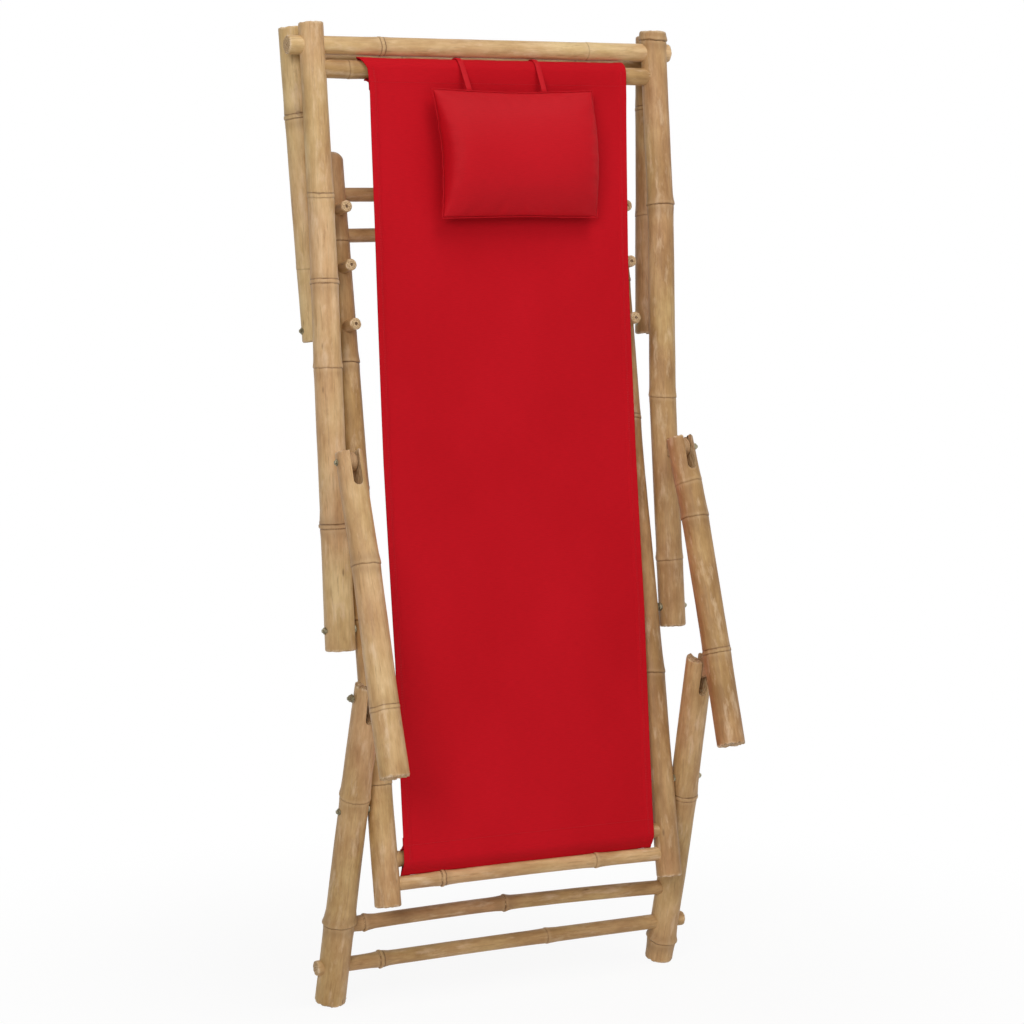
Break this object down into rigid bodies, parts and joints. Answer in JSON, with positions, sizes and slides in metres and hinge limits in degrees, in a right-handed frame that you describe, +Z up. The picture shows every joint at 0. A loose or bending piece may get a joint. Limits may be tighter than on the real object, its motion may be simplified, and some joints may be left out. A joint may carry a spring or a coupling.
{
  "type": "folding recliner",
  "caption": "Bamboo pole folding recliner with a cloth sling, hanging head pillow, linked armrests and a prop that sets the back.",
  "frame": {"origin": "on the floor under the middle of the nearly folded chair, which stands on the feet of its legs", "axes": "+X across the chair to the sitter's left, seen from the front as right; +Y towards its back; +Z up"},
  "size_m": [0.6168, 0.3246, 1.3995],
  "materials": {
    "bamboo_pole": "pale natural bamboo culm, satin, ringed",
    "bamboo_rod": "thin bamboo culm, satin, slightly darker",
    "wood_tongue": "split bamboo plate, planed",
    "steel": "zinc plated, dull",
    "canvas": "plain woven canvas, matt",
    "pillow_cloth": "plain woven canvas, matt, filled"
  },
  "bodies": {
    "seat_frame": {"seat_rail_left": "bamboo_pole", "prop_peg_left_1": "bamboo_rod", "prop_peg_left_2": "bamboo_rod", "prop_peg_left_3": "bamboo_rod", "seat_rail_right": "bamboo_pole", "prop_peg_right_1": "bamboo_rod", "prop_peg_right_2": "bamboo_rod", "prop_peg_right_3": "bamboo_rod", "rear_stretcher_upper": "bamboo_rod", "rear_stretcher_lower": "bamboo_rod", "lower_hem_rail": "bamboo_rod", "front_stretcher": "bamboo_rod"},
    "back_frame": {"back_post_left": "bamboo_pole", "arm_tongue_left": "wood_tongue", "prop_tongue_left": "wood_tongue", "back_hinge_bolt_left": "steel", "back_hinge_nut_left": "steel", "back_hinge_washer_left": "steel", "back_post_right": "bamboo_pole", "arm_tongue_right": "wood_tongue", "prop_tongue_right": "wood_tongue", "back_hinge_bolt_right": "steel", "back_hinge_nut_right": "steel", "back_hinge_washer_right": "steel", "top_rail": "bamboo_rod", "upper_hem_rail": "bamboo_rod", "sling": "canvas"},
    "leg_frame": {"leg_left": "bamboo_pole", "arm_front_hinge_bolt_left": "steel", "arm_front_hinge_nut_left": "steel", "leg_hinge_bolt_left": "steel", "leg_hinge_nut_left": "steel", "leg_hinge_washer_left": "steel", "leg_right": "bamboo_pole", "arm_front_hinge_bolt_right": "steel", "arm_front_hinge_nut_right": "steel", "leg_hinge_bolt_right": "steel", "leg_hinge_nut_right": "steel", "leg_hinge_washer_right": "steel", "leg_stretcher_upper": "bamboo_rod", "leg_stretcher_lower": "bamboo_rod"},
    "armrest_left": {"armrest_left": "bamboo_pole", "armrest_tongue_left": "wood_tongue", "arm_rear_hinge_bolt_left": "steel", "arm_rear_hinge_nut_left": "steel"},
    "armrest_right": {"armrest_right": "bamboo_pole", "armrest_tongue_right": "wood_tongue", "arm_rear_hinge_bolt_right": "steel", "arm_rear_hinge_nut_right": "steel"},
    "prop_frame": {"prop_post_left": "bamboo_pole", "prop_hinge_bolt_left": "steel", "prop_hinge_nut_left": "steel", "prop_post_right": "bamboo_pole", "prop_hinge_bolt_right": "steel", "prop_hinge_nut_right": "steel", "prop_bar": "bamboo_rod"},
    "pillow": {"pillow": "pillow_cloth", "pillow_loop_left": "pillow_cloth", "pillow_loop_right": "pillow_cloth"}
  },
  "joints": [
    {"name": "back_fold", "type": "hinge", "parent": "seat_frame", "child": "back_frame", "pos_m": [0, 0.03477, 0.54682], "axis": [1, 0, 0], "range_deg": [-3, 59.8], "deforming": ["sling"]},
    {"name": "leg_fold", "type": "hinge", "parent": "seat_frame", "child": "leg_frame", "pos_m": [0, -0.00632, 0.29587], "axis": [1, 0, 0], "range_deg": [-3.62, 70.36]},
    {"name": "arm_fold_left", "type": "hinge", "parent": "back_frame", "child": "armrest_left", "pos_m": [-0.266, -0.00281, 0.78681], "axis": [-1, 0, 0], "range_deg": [-2.58, 49.63]},
    {"name": "arm_fold_right", "type": "hinge", "parent": "back_frame", "child": "armrest_right", "pos_m": [0.266, -0.00281, 0.78681], "axis": [-1, 0, 0], "range_deg": [-2.58, 49.63]},
    {"name": "prop_swing", "type": "hinge", "parent": "back_frame", "child": "prop_frame", "pos_m": [0, 0.11087, 0.96565], "axis": [-1, 0, 0], "range_deg": [0, 125.3]},
    {"name": "pillow_flip", "type": "hinge", "parent": "back_frame", "child": "pillow", "pos_m": [0, 0.09636, 1.3294], "axis": [-1, 0, 0], "range_deg": [0, 100]}
  ],
  "couplings": [
    {"joint": "leg_fold", "follows": "back_fold", "ratio": 1.1749},
    {"joint": "arm_fold_left", "follows": "back_fold", "ratio": 0.8282},
    {"joint": "arm_fold_right", "follows": "back_fold", "ratio": 0.8282}
  ]
}
